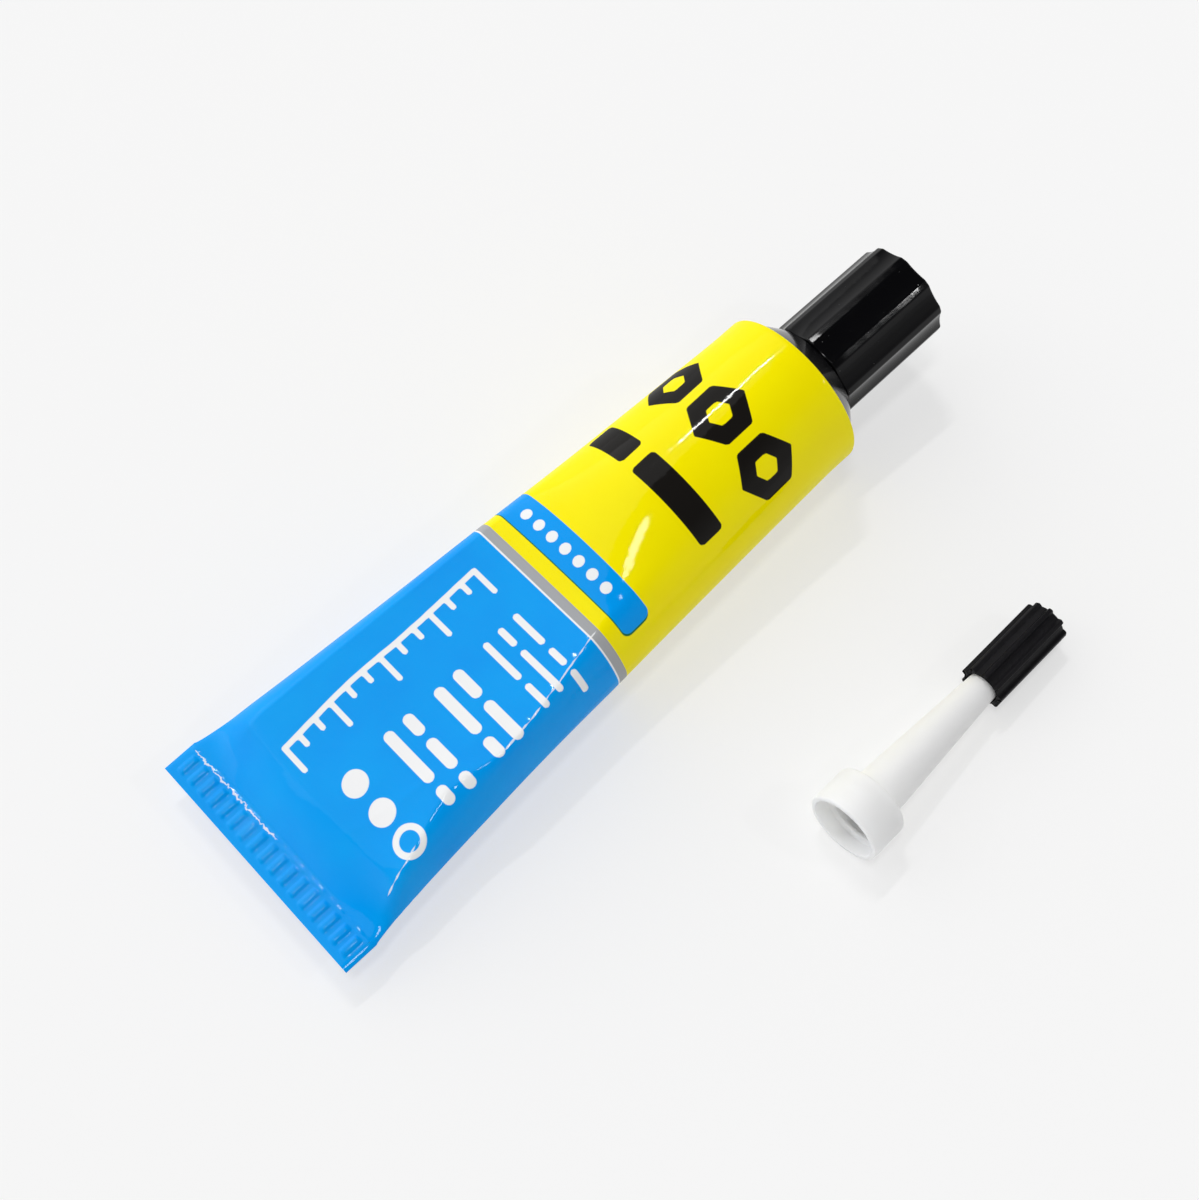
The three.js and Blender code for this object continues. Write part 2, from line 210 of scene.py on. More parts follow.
def add_piece(name, rings, place, material, body, node, closed=False):
    """Object from rings of equal point counts, with a fan over each open end, in place of a CAD node."""
    rings = np.asarray(rings)
    count, columns = rings.shape[:2]
    points = rings.reshape(-1, 3)
    faces = grid_faces(count, columns, closed)
    if not closed:
        tips = np.array([rings[0].mean(0), rings[-1].mean(0)])
        points = np.concatenate([points, tips])
        faces += fan_faces(0, columns, count * columns)
        faces += fan_faces((count - 1) * columns, columns, count * columns + 1)
    matrix = np.array(place)
    mesh = bpy.data.meshes.new(name)
    mesh.from_pydata((points @ matrix[:3, :3].T + matrix[:3, 3]).tolist(), [], faces)
    shell = bmesh.new()
    shell.from_mesh(mesh)
    bmesh.ops.recalc_face_normals(shell, faces=shell.faces)
    shell.to_mesh(mesh)
    shell.free()
    mesh.shade_smooth()
    mesh.set_sharp_from_angle(angle=math.radians(SHARP_ANGLE))
    mesh.materials.append(material)
    piece = bpy.data.objects.new(name, mesh)
    bpy.context.scene.collection.objects.link(piece)
    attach(piece, body)
    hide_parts(node)
    return piece


def rounded(corners):
    """Closed outline through corners (x, radius, rounding), with a curve in place of each corner."""
    outline = []
    for i, (x, radius, rounding) in enumerate(corners):
        corner = np.array([x, radius])
        ways = []
        for other in (corners[i - 1], corners[(i + 1) % len(corners)]):
            way = np.array(other[:2]) - corner
            length = np.hypot(*way)
            ways.append(way / length * min(rounding, 0.49 * length))
        for share in np.linspace(0, 1, ROUND_STEPS + 1):
            outline.append(corner + ways[0] * (1 - share) ** 2 + ways[1] * share ** 2)
    return outline


def thread_height(x, angle, start, low, high):
    """Share of the thread's depth on a wall, for a right-hand thread that fades at low and high."""
    turn = (x - start) / THREAD_PITCH - angle / (2 * math.pi)
    off_crest = np.abs(turn - np.round(turn)) * THREAD_PITCH
    slope = (THREAD_ROOT_WIDTH - THREAD_CREST_WIDTH) / 2
    rise = smooth_step(THREAD_ROOT_WIDTH / 2 - off_crest, 0, slope)
    return rise * faded_span(x, low, high, THREAD_FADE)


def turned_rings(outline, angles):
    """Rings about the X axis through the points (x, radius) of an outline."""
    x = np.array([p[0] for p in outline])[:, None] + 0 * angles
    radius = np.array([p[1] for p in outline])[:, None]
    return np.stack([x, radius * np.cos(angles), radius * np.sin(angles)], -1)


def threaded_rings(low, high, radius, depth, start, angles):
    """Rings of a threaded wall from low to high, where a negative depth makes an inside thread."""
    x = np.arange(low, high, math.copysign(THREAD_STEP, high - low))[:, None] + 0 * angles
    wall = radius + depth * thread_height(x, angles, start, min(low, high), max(low, high))
    return np.stack([x, wall * np.cos(angles), wall * np.sin(angles)], -1)


def turned_angles(columns=TURNED_COLUMNS):
    return np.arange(columns) * 2 * math.pi / columns


# Sleeve. On its soft half the top is pressed flat, between a crease on the right and a rounder knee on the left.

PRESS_START = (SEAL_LENGTH, 15.0)
PRESS_END = (48.0, 72.0)
PRESSED_SHARE = 0.77
KNEE_SHARE = 0.76
KNEE_BULGE = 1.5
CREASE_BULGE = 1.7
CREASE_X = [6, 10.5, 15, 19, 22, 25, 28, 31, 34, 39, 45, 53.5, 64]
CREASE_SHARE = [0.903, 0.886, 0.865, 0.807, 0.754, 0.723, 0.755, 0.81, 0.85, 0.834, 0.784, 0.692, 0.64]
DISH_DEPTH = 0.35
LIP_HEIGHT = 0.08
LIP_WAVE_LENGTH = 4.6
LIP_WAVES = 1.7
LIP_REACH = 0.06

# Shallow dents: place round the sleeve from its top, place along it, reach round, reach along and depth.
DENTS = [
    (4.0, 27.0, 6.0, 4.0, 0.22),
    (-5.0, 19.0, 5.0, 6.0, 0.18),
    (9.0, 15.5, 4.0, 5.0, 0.2),
    (-9.0, 40.0, 5.0, 7.0, 0.16),
    (5.0, 68.0, 5.0, 9.0, 0.08),
    (-7.0, 84.0, 4.0, 10.0, 0.06),
]

# Thin folds in the sheet: places along the sleeve, places round it, height and reach.
FOLDS = [
    ((22, 29, 38), (15.0, 14.6, 13.6), 0.1, 0.8),
    ((8, 30, 58), (21.5, 20.2, 18.6), 0.1, 0.7),
    ((14, 32, 46), (8.6, 9.6, 8.8), 0.05, 1.0),
    ((9, 16, 26), (6.0, 7.4, 10.0), 0.08, 0.9),
    ((34, 46, 56), (-13.5, -14.2, -13.8), 0.08, 0.7),
]
FOLD_FADE = 4.0
FOLD_ROUNDING = 0.2
WRINKLE_FADE = 3.0

# Runs of outer rings: start, end and count, closest together where the print and the ribs are finest.
STATION_RUNS = [
    (0, SEAL_LENGTH, 24),
    (SEAL_LENGTH, 12, 24),
    (12, 62, 125),
    (62, SLEEVE_LENGTH - RIM_ROUNDING, 74),
]
INNER_END_X = 10.0
INNER_STATIONS = 14
CEMENT_STATIONS = 40
CEMENT_STEP = 4

section_angles = np.linspace(-math.pi / 2, 3 * math.pi / 2, SECTION_SAMPLES + 1)


def pressure(x):
    """How far the top is pressed flat at x, from 0 to 1."""
    return smooth_step(x, *PRESS_START) * (1 - smooth_step(x, *PRESS_END))


def section_lift(x, lens):
    """Heights round the section as shares of its half height: a lens or an ellipse, pressed flat on top."""
    out = np.cos(section_angles)
    right = out < 0
    knee = np.where(right, np.interp(x, CREASE_X, CREASE_SHARE), KNEE_SHARE)
    bulge = np.where(right, CREASE_BULGE, KNEE_BULGE)
    side = np.clip((np.abs(out) - knee) / (1 - knee), 0, 1)
    flat = PRESSED_SHARE * (1 - side ** bulge) ** (1 / bulge)
    return np.where(np.sin(section_angles) > 0, lens + pressure(x) * (flat - lens), -lens)


def top_relief(x):
    """Depth of the shallow dish between the knee and the crease, and the wavy lip along the crease."""
    out = np.cos(section_angles)
    crease = np.interp(x, CREASE_X, CREASE_SHARE)
    middle, reach = (KNEE_SHARE - crease) / 2, (KNEE_SHARE + crease) / 2
    dish = -DISH_DEPTH * np.clip(1 - ((out - middle) / reach) ** 2, 0, None)
    turn = 2 * math.pi * x / LIP_WAVE_LENGTH
    wave = (math.sin(turn) + math.sin(LIP_WAVES * turn + 1)) / 2
    lip = LIP_HEIGHT * wave * np.exp(-((out + crease) / LIP_REACH) ** 2)
    return pressure(x) * np.where(np.sin(section_angles) > 0, dish + lip, 0)


def section_height(x, half_width, lens):
    """Half height that keeps the sheet's girth before it is pressed, limited by the slope behind the weld."""
    y = half_width * np.cos(section_angles)
    low, high = SLEEVE_WALL, SLEEVE_RADIUS
    for _ in range(HEIGHT_STEPS):
        middle = (low + high) / 2
        if np.hypot(np.diff(y), middle * np.diff(lens)).sum() < GIRTH:
            low = middle
        else:
            high = middle
    return min(high, SLEEVE_WALL + math.tan(math.radians(TAIL_SLOPE)) * max(0, x - SEAL_LENGTH))


def section(x, inset):
    """Points (y, z) of the section moved in by inset, evenly spaced round it from the belly's middle."""
    share = np.clip((x - SEAL_LENGTH) / (TAPER_END - SEAL_LENGTH), 0, 1)
    half_width = SEAL_HALF_WIDTH + (SLEEVE_RADIUS - SEAL_HALF_WIDTH) * share ** TAPER_POWER
    sharpness = EDGE_SHARPNESS + (1 - EDGE_SHARPNESS) * min(1, share / EDGE_FADE)
    lens = np.abs(np.sin(section_angles)) ** sharpness
    half_height = section_height(x, half_width, lens)
    lift = section_lift(x, lens)
    y = half_width * np.cos(section_angles)
    hollow = math.sqrt(max(0, half_height ** 2 - SLEEVE_WALL ** 2)) * lift
    squared = np.abs(np.cos(section_angles)) ** FOLD_SQUARENESS
    plate = SLEEVE_WALL * np.sqrt(np.clip(1 - squared, 0, 1))
    z = np.hypot(hollow, plate) * np.sign(np.sin(section_angles)) + top_relief(x)
    y *= 1 - inset * (2 * sharpness - 1) / half_width
    z *= 1 - inset / half_height
    along = np.concatenate([[0], np.cumsum(np.hypot(np.diff(y), np.diff(z)))])
    columns = np.arange(SLEEVE_COLUMNS) / SLEEVE_COLUMNS * along[-1]
    return np.stack([np.interp(columns, along, y), np.interp(columns, along, z)], -1)


def round_places():
    """Where each column lies round the sheet, from the middle of its top."""
    return GIRTH * (np.arange(SLEEVE_COLUMNS) / SLEEVE_COLUMNS - 0.5)


def wrinkles(x, around):
    """How far the sheet stands out or in at its dents and folds."""
    out = np.zeros_like(around)
    for dent_around, dent_along, reach_around, reach_along, depth in DENTS:
        reach = ((around - dent_around) / reach_around) ** 2 + ((x - dent_along) / reach_along) ** 2
        out -= depth * np.exp(-reach)
    for along, places, height, reach in FOLDS:
        strength = faded_span(x, along[0], along[-1], FOLD_FADE)
        off = around - np.interp(x, along, places)
        out += height * strength * np.exp(-np.hypot(off, FOLD_ROUNDING) / reach)
    return out * smooth_step(x, SEAL_LENGTH, SEAL_LENGTH + WRINKLE_FADE)


RIB_START = 1.0
RIB_END = SEAL_LENGTH - 0.9
RIB_FADE = 0.5
BEAD_X = SEAL_LENGTH - 0.55
BEAD_HEIGHT = 0.14
BEAD_LENGTH = 0.3
BEAD_END = 0.6
BEAD_MEAN = 0.6
BEAD_SWING = 0.4
WELD_FADE = 2.0


def weld_relief(x, y):
    """Height of the pressed ribs and of the bead that is squeezed up at their inner ends."""
    pitch = 2 * (SEAL_HALF_WIDTH - SEAL_MARGIN) / SEAL_RIB_COUNT
    place = (y + SEAL_HALF_WIDTH - SEAL_MARGIN) / pitch
    inside = smooth_step(SEAL_HALF_WIDTH - SEAL_MARGIN - np.abs(y), -0.2, 0.2)
    rib = smooth_step(-np.cos(2 * math.pi * place), -0.5, 0.6) * inside
    span = faded_span(x, RIB_START, RIB_END, RIB_FADE)
    bead = BEAD_HEIGHT * np.exp(-((x - BEAD_X) / BEAD_LENGTH) ** 2)
    bead = bead * (BEAD_MEAN + BEAD_SWING * np.sin(2.3 * y) * np.sin(0.9 * y + 1))
    return SEAL_RIB_HEIGHT * rib * span + bead * (np.abs(y) < SEAL_HALF_WIDTH - BEAD_END)


def sleeve_ring(x, inset):
    """Ring of the sleeve at x, moved in by inset, and flat where it rests on the table."""
    points = section(x, inset)
    around = (np.roll(points, -1, 0) - np.roll(points, 1, 0)) @ np.array([[0, -1], [1, 0]])
    outward = around / np.hypot(*around.T)[:, None]
    points = points + outward * wrinkles(x, round_places())[:, None]
    on_weld = smooth_step(-x, -SEAL_LENGTH - WELD_FADE, -SEAL_LENGTH)
    points[:, 1] += weld_relief(x, points[:, 0]) * on_weld
    tube = np.array(TUBE) / MM
    table = inset - (tube[2, 3] + x * tube[2, 0]) / tube[2, 2]
    return np.column_stack([np.full(len(points), x), points[:, 0], np.maximum(points[:, 1], table)])


def sleeve():
    stations = np.concatenate([np.linspace(*run, endpoint=False) for run in STATION_RUNS])
    rings = [sleeve_ring(x, 0) for x in stations]
    for angle in np.linspace(0, math.pi / 2, ROUND_STEPS + 1):
        x = SLEEVE_LENGTH - RIM_ROUNDING * (1 - math.sin(angle))
        rings.append(sleeve_ring(x, RIM_ROUNDING * (1 - math.cos(angle))))
    for x in np.linspace(SLEEVE_LENGTH, INNER_END_X, INNER_STATIONS):
        rings.append(sleeve_ring(x, SLEEVE_WALL))
    rings = np.array(rings)
    piece = add_piece("sleeve_sheet", rings, TUBE, laminate(), "tube", "sleeve")
    print_label(piece.data, rings)
    return piece


def cement():
    inset = SLEEVE_WALL + FIT_GAP
    stations = np.linspace(INNER_END_X + 1, TAPER_END - FIT_GAP, CEMENT_STATIONS)
    rings = [sleeve_ring(x, inset)[::CEMENT_STEP] for x in stations]
    return add_piece("cement", rings, TUBE, clear_cement(), "tube", "cement_fill")


# Print. Each ink is a field of distances from its shapes' edges, in millimetres, kept on the mesh.

STRIPE_START = 52.6
STRIPE_END = 54.0
HAIRLINE = 0.25
BAND_START = 56.3
BAND_END = 61.1
BAND_RIGHT = 14.2
BAND_LEFT = -30.0
BAND_CORNER = 1.2
BAND_SHIFT = (0.28, -0.16)


def bar(s, x, left, right, low, high, corner):
    """Distance from the edge of a bar with rounded corners."""
    across = np.abs(s - (left + right) / 2) - (right - left) / 2 + corner
    along = np.abs(x - (low + high) / 2) - (high - low) / 2 + corner
    outside = np.hypot(np.maximum(across, 0), np.maximum(along, 0))
    return outside + np.minimum(np.maximum(across, along), 0) - corner


def ring(s, x, centre, height, radius, stroke):
    return np.abs(np.hypot(s - centre, x - height) - radius) - stroke / 2


def dot(s, x, centre, height, radius):
    return np.hypot(s - centre, x - height) - radius


def hexagon(s, x, centre, height, reach, stroke):
    """Distance from the edge of a ring with six straight sides."""
    sides = [math.radians(60 * i + 30) for i in range(3)]
    from_middle = [np.abs((s - centre) * math.sin(a) + (x - height) * math.cos(a)) for a in sides]
    return np.abs(np.maximum.reduce(from_middle) - reach) - stroke / 2


HEXAGONS = (-9.4, 0.6, 10.6)
HEXAGON_X = 86.5
HEXAGON_REACH = 2.9
HEXAGON_STROKE = 2.5
BLOCKS = [(-12.8, -4.2), (-2.2, 12.6)]
BLOCKS_X = 74.4
BLOCK_HEIGHT = 4.2
BLOCK_CORNER = 0.7


def black_ink(s, x):
    """A row of bold hexagons, and two bold blocks below them."""
    shapes = [hexagon(s, x, centre, HEXAGON_X, HEXAGON_REACH, HEXAGON_STROKE) for centre in HEXAGONS]
    low, high = BLOCKS_X - BLOCK_HEIGHT / 2, BLOCKS_X + BLOCK_HEIGHT / 2
    for left, right in BLOCKS:
        shapes.append(bar(s, x, left, right, low, high, BLOCK_CORNER))
    return np.minimum.reduce(shapes)


GAUGE_S = -8.5
GAUGE_START = 13.0
GAUGE_END = 48.5
GAUGE_TICKS = 13
GAUGE_STROKE = 0.8
TICK_SHORT = 2.6
TICK_LONG = 5.0
TICKS_PER_LONG = 3
BAND_DOTS = 7
BAND_DOT_START = -9.0
BAND_DOT_PITCH = 2.7
BAND_DOT_RADIUS = 0.85
RULE_LEFT = 0.5
RULE_GAP = 1.1
RULES = [
    (47.6, 1.0, (6.0, 3.2, 4.0)),
    (44.8, 1.0, (3.4, 8.0)),
    (42.0, 1.0, (7.2, 4.4)),
    (36.6, 1.7, (5.0, 7.0)),
    (33.2, 1.7, (8.6, 3.4)),
    (27.8, 1.7, (3.6, 5.4, 2.6)),
    (24.4, 1.7, (9.4, 3.0)),
]
SPOTS_X = 17.0
SPOT_PITCH = 5.4
SPOT_RADIUS = 1.9
SPOT_STROKE = 0.9


def white_ink(s, x):
    """A tick scale on the left, rows of plain rules on the right and three spots below them."""
    shapes = [bar(s, x, GAUGE_S, GAUGE_S + GAUGE_STROKE, GAUGE_START, GAUGE_END, GAUGE_STROKE / 2)]
    for i, height in enumerate(np.linspace(GAUGE_START, GAUGE_END, GAUGE_TICKS)):
        length = TICK_SHORT if i % TICKS_PER_LONG else TICK_LONG
        low = np.clip(height - GAUGE_STROKE / 2, GAUGE_START, GAUGE_END - GAUGE_STROKE)
        shapes.append(bar(s, x, GAUGE_S, GAUGE_S + length, low, low + GAUGE_STROKE, GAUGE_STROKE / 2))
    for height, stroke, lengths in RULES:
        left = RULE_LEFT
        for length in lengths:
            low, high = height - stroke / 2, height + stroke / 2
            shapes.append(bar(s, x, left, left + length, low, high, stroke / 2))
            left += length + RULE_GAP
    for i in range(BAND_DOTS):
        middle = (BAND_START + BAND_END) / 2
        shapes.append(dot(s, x, BAND_DOT_START + i * BAND_DOT_PITCH, middle, BAND_DOT_RADIUS))
    for i in range(3):
        place = RULE_LEFT + SPOT_RADIUS + i * SPOT_PITCH
        if i < 2:
            shapes.append(dot(s, x, place, SPOTS_X, SPOT_RADIUS))
        else:
            shapes.append(ring(s, x, place, SPOTS_X, SPOT_RADIUS, SPOT_STROKE))
    return np.minimum.reduce(shapes)


# Painted highlight: a pale line is painted along parts of the crease in place of its glint. Start, end and half
# width of each part.
PAINTED_GLINT_PARTS = [(9.5, 18.0, 0.13), (33.0, 42.0, 0.13), (41.0, 54.5, 0.1)]
GLINT_FADE = 1.5
GLINT_DASH = 3.1
CREASE_STRAY = 0.03

# Half width where no highlight is painted: below zero, so that no line is drawn there.
GLINT_NONE = -0.2

# A painted highlight also runs along the weld's inner line, from near the left edge to the middle, and it strays
# more.
WELD_GLINT_START = 1 - SEAL_HALF_WIDTH
WELD_GLINT_FULL = 1.5 - SEAL_HALF_WIDTH
WELD_GLINT_END = 0.5
WELD_GLINT_FADE = 1.0
WELD_GLINT_WIDTH = 0.17
WELD_STRAY = 0.28

# Places along the sleeve: past the first the weld has no painted highlight, and past the second the crease is
# measured.
WELD_GLINT_REACH = BEAD_X + 1.5
GLINT_SWITCH = 8.0


def crease_places(rings):
    """Where the crease lies round the sheet on each ring."""
    s = round_places()
    right = (s > 0) & (s < GIRTH / 4)
    places = []
    for ring_points in rings:
        crease = np.interp(ring_points[0, 0], CREASE_X, CREASE_SHARE) * np.abs(ring_points[:, 1]).max()
        places.append(np.interp(crease, -ring_points[right, 1], s[right]))
    return np.array(places)


def painted_glint_width(x):
    """Half width of the painted highlight along the crease, which breaks into dashes."""
    width = np.full_like(x, GLINT_NONE)
    for start, end, part_width in PAINTED_GLINT_PARTS:
        span = faded_span(x, start, end, GLINT_FADE)
        dash = 0.6 + 0.5 * np.sin(2 * math.pi * x / GLINT_DASH + 2 * np.sin(x))
        width = np.maximum(width, GLINT_NONE + (part_width * dash - GLINT_NONE) * span)
    return width


def weld_glint_width(s):
    """Half width of the painted highlight along the weld's inner end."""
    span = smooth_step(s, WELD_GLINT_START, WELD_GLINT_FULL) * smooth_step(-s, -WELD_GLINT_END, WELD_GLINT_FADE)
    dash = 0.7 + 0.3 * np.sin(1.9 * s)
    return GLINT_NONE + (WELD_GLINT_WIDTH * dash - GLINT_NONE) * span


def print_label(mesh, rings):
    """Keeps the place along the sleeve, the distance fields of the inks and the places of the painted highlights
    on the sheet's points.
    """
    x = np.concatenate([rings[:, :, 0].ravel(), rings[[0, -1], 0, 0]])
    s = np.concatenate([np.tile(round_places(), len(rings)), [0, 0]])
    band = (BAND_LEFT, BAND_RIGHT, BAND_START, BAND_END, BAND_CORNER)
    places = np.concatenate([np.repeat(crease_places(rings), SLEEVE_COLUMNS), [0, 0]])
    fields = {
        "along": x,
        # The next two fields place the painted highlight lines along the crease and the weld's inner end.
        "off_glint": np.where(x < GLINT_SWITCH, x - BEAD_X, s - places),
        "painted_glint_width": np.where(x < WELD_GLINT_REACH, weld_glint_width(s), painted_glint_width(x)),
        "ink_black": black_ink(s, x),
        "ink_white": white_ink(s, x),
        "ink_band": bar(s, x, *band),
        "ink_overprint": bar(s - BAND_SHIFT[0], x - BAND_SHIFT[1], *band),
    }
    for name, values in fields.items():
        attribute = mesh.attributes.new(name, "FLOAT", "POINT")
        attribute.data.foreach_set("value", values.astype(np.float32))


# Moulded pieces


def shoulder():
    skirt = SLEEVE_RADIUS - SLEEVE_WALL - FIT_GAP
    skirt_x = SLEEVE_LENGTH - SKIRT_LENGTH
    inside = skirt - SHOULDER_WALL
    drop = SHOULDER_WALL * math.sqrt(2)
    neck_top = SEAT_X + NECK_LENGTH
    angles = turned_angles()
    outer = rounded([
        (skirt_x, inside, 0.1),
        (skirt_x, skirt, 0.2),
        (SLEEVE_LENGTH, skirt, 0.3),
        (SEAT_X, SEAT_RADIUS, 0.25),
        (SEAT_X, THREAD_CORE_RADIUS, 0.3),
        (neck_top, THREAD_CORE_RADIUS, 0.3),
        (neck_top, NECK_BORE_RADIUS, 0.2),
        (SEAT_X - drop, NECK_BORE_RADIUS, 0.3),
        (SEAT_X - drop, SEAT_RADIUS - SHOULDER_WALL, 0.3),
        (SLEEVE_LENGTH - drop, inside, 0.3),
    ])
    split = 5 * (ROUND_STEPS + 1)
    thread = threaded_rings(
        SEAT_X + 0.4, neck_top - 0.4, THREAD_CORE_RADIUS, THREAD_DEPTH, SEAT_X + THREAD_START, angles)
    rings = np.concatenate([turned_rings(outer[:split], angles), thread, turned_rings(outer[split:], angles)])
    material = gloss_black("black_shoulder", SHOULDER_SHINE)
    return add_piece("shoulder", rings, TUBE, material, "tube", "shoulder_neck", closed=True)


def membrane():
    edge = THREAD_CORE_RADIUS
    top = MEMBRANE_X + MEMBRANE_THICKNESS
    outline = [
        (MEMBRANE_X, 0.05),
        (MEMBRANE_X, edge - 0.05),
        (MEMBRANE_X + 0.06, edge),
        (top - 0.06, edge),
        (top, edge - 0.08),
        (top, 2.7),
        (top - 0.06, 2.5),
        (top - 0.06, 2.2),
        (top, 2.0),
        (top, 0.05),
    ]
    rings = turned_rings(outline, turned_angles())
    return add_piece("seal_foil", rings, TUBE, seal_foil(), "tube", "neck_membrane")


def liner():
    edge = SOCKET_RADIUS - FIT_GAP
    outline = rounded([
        (LINER_X, 0.05, 0.02),
        (LINER_X, edge, 0.15),
        (LINER_X + LINER_THICKNESS, edge, 0.15),
        (LINER_X + LINER_THICKNESS, 0.05, 0.02),
    ])
    rings = turned_rings(outline, turned_angles())
    return add_piece("sealing_wad", rings, TUBE, liner_foam(), "cap_carrier", "cap_liner")


LAND_ROUNDING = 0.09
OUTLINE_SAMPLES = 4096


def cap_outline():
    """Outline of the cap at its full size: hollow facets between narrow flat lands with rounded edges."""
    land = math.asin(CAP_LAND_WIDTH / 2 / CAP_CORNER_RADIUS)
    step = 2 * math.pi / CAP_FACETS
    points = []
    for i in range(CAP_FACETS):
        corner = math.radians(CAP_FIRST_CORNER) + i * step
        ends = [corner - land, corner + land, corner + step - land]
        start, leave, arrive = [CAP_CORNER_RADIUS * np.array([math.cos(a), math.sin(a)]) for a in ends]
        middle = (leave + arrive) / 2
        hollow = middle * (1 - 2 * CAP_FACET_HOLLOW / np.hypot(*middle))
        points.append(start)
        for share in np.linspace(0, 1, 24, endpoint=False):
            points.append(leave * (1 - share) ** 2 + 2 * hollow * share * (1 - share) + arrive * share ** 2)
    return softened(np.array(points))


def softened(points):
    """A closed outline resampled evenly, with its corners blurred over a short reach."""
    closed = np.vstack([points, points[:1]])
    along = np.concatenate([[0], np.cumsum(np.hypot(*np.diff(closed, axis=0).T))])
    places = np.arange(OUTLINE_SAMPLES) / OUTLINE_SAMPLES * along[-1]
    even = np.interp(places, along, closed[:, 0]) + 1j * np.interp(places, along, closed[:, 1])
    waves = np.fft.fftfreq(OUTLINE_SAMPLES, along[-1] / OUTLINE_SAMPLES)
    blurred = np.fft.ifft(np.fft.fft(even) * np.exp(-2 * (math.pi * waves * LAND_ROUNDING) ** 2))
    columns = np.arange(CAP_COLUMNS) * OUTLINE_SAMPLES / CAP_COLUMNS
    kept = np.interp(columns, np.arange(OUTLINE_SAMPLES), blurred)
    return np.stack([kept.real, kept.imag], -1)


def screw_cap():
    outline = cap_outline()
    angles = np.arctan2(outline[:, 1], outline[:, 0])

    def faceted(x, inset):
        scaled = outline * (1 - inset / CAP_CORNER_RADIUS)
        return np.column_stack([np.full(CAP_COLUMNS, x), scaled])

    rings = [turned_rings([
        (CAP_RECESS_X + SPIKE_HEIGHT, 0.12),
        (CAP_RECESS_X + SPIKE_HEIGHT - 0.15, 0.2),
        (CAP_RECESS_X + 0.2, SPIKE_RADIUS),
        (CAP_RECESS_X, SPIKE_RADIUS + 0.2),
        (CAP_RECESS_X, RECESS_RADIUS - 0.3),
        (CAP_RECESS_X + 0.3, RECESS_RADIUS),
        (CAP_END_X - 0.3, RECESS_RADIUS),
        (CAP_END_X, RECESS_RADIUS + 0.25),
    ], angles)]
    turn = np.linspace(0, math.pi / 2, ROUND_STEPS + 1)
    sides = []
    for a in turn:
        inset = CAP_DRAFT + CAP_EDGE * (1 - math.sin(a))
        sides.append(faceted(CAP_END_X - CAP_EDGE * (1 - math.cos(a)), inset))
    for share in np.linspace(0, 1, 10)[1:-1]:
        x = CAP_END_X - CAP_EDGE + share * (CAP_BASE_X - CAP_END_X + 2 * CAP_EDGE)
        sides.append(faceted(x, CAP_DRAFT * (1 - share)))
    for a in turn:
        sides.append(faceted(CAP_BASE_X + CAP_EDGE * (1 - math.sin(a)), CAP_EDGE * (1 - math.cos(a))))
    rings.append(np.array(sides))
    rings.append(turned_rings([(CAP_BASE_X, SOCKET_RADIUS + 0.3), (CAP_BASE_X + 0.3, SOCKET_RADIUS)], angles))
    ridge_start = SEAT_X + THREAD_START + THREAD_PITCH / 2
    rings.append(threaded_rings(
        CAP_BASE_X + 0.6, CAP_BORE_END_X - 1.6, SOCKET_RADIUS, -THREAD_DEPTH, ridge_start, angles))
    rings.append(turned_rings([
        (CAP_BORE_END_X - 0.2, SOCKET_RADIUS),
        (CAP_BORE_END_X, SOCKET_RADIUS - 0.2),
        (CAP_BORE_END_X, 0.1),
    ], angles))
    rings = np.concatenate(rings)
    material = gloss_black("black_gloss", CAP_SHINE)
    return add_piece("cap_shell", rings, TUBE, material, "cap", "screw_cap")


def cone_radius(x):
    share = (x - COLLAR_LENGTH) / (NOZZLE_LENGTH - COLLAR_LENGTH)
    return CONE_BASE_RADIUS + (TIP_RADIUS - CONE_BASE_RADIUS) * share


def nozzle():
    depth = COLLAR_LENGTH - COLLAR_WEB
    bore = CONE_BASE_RADIUS - CONE_WALL
    angles = turned_angles()
    outline = rounded([
        (0, SOCKET_RADIUS, 0.12),
        (0, COLLAR_RADIUS, MOUTH_BEVEL),
        (COLLAR_LENGTH, COLLAR_RADIUS, 0.6),
        (COLLAR_LENGTH, CONE_BASE_RADIUS, 1.3),
        (NOZZLE_LENGTH, TIP_RADIUS, 0.25),
        (NOZZLE_LENGTH, TIP_BORE_RADIUS, 0.12),
        (COLLAR_LENGTH, bore, 0.4),
        (depth, bore, 0.2),
        (depth, SOCKET_RADIUS, 0.3),
    ])
    thread = threaded_rings(
        depth - 0.35, NOZZLE_THREAD_X, SOCKET_RADIUS, -THREAD_DEPTH, THREAD_ROOT_WIDTH, angles)
    rings = np.concatenate([turned_rings(outline, angles), thread])
    material, slot = natural_plastic(), "natural_polyethylene"
    return add_piece("applicator", rings, NOZZLE, material, "nozzle_body", "nozzle", closed=True)


RIB_FOOT = 0.25
TIP_CAP_EDGE = 0.35


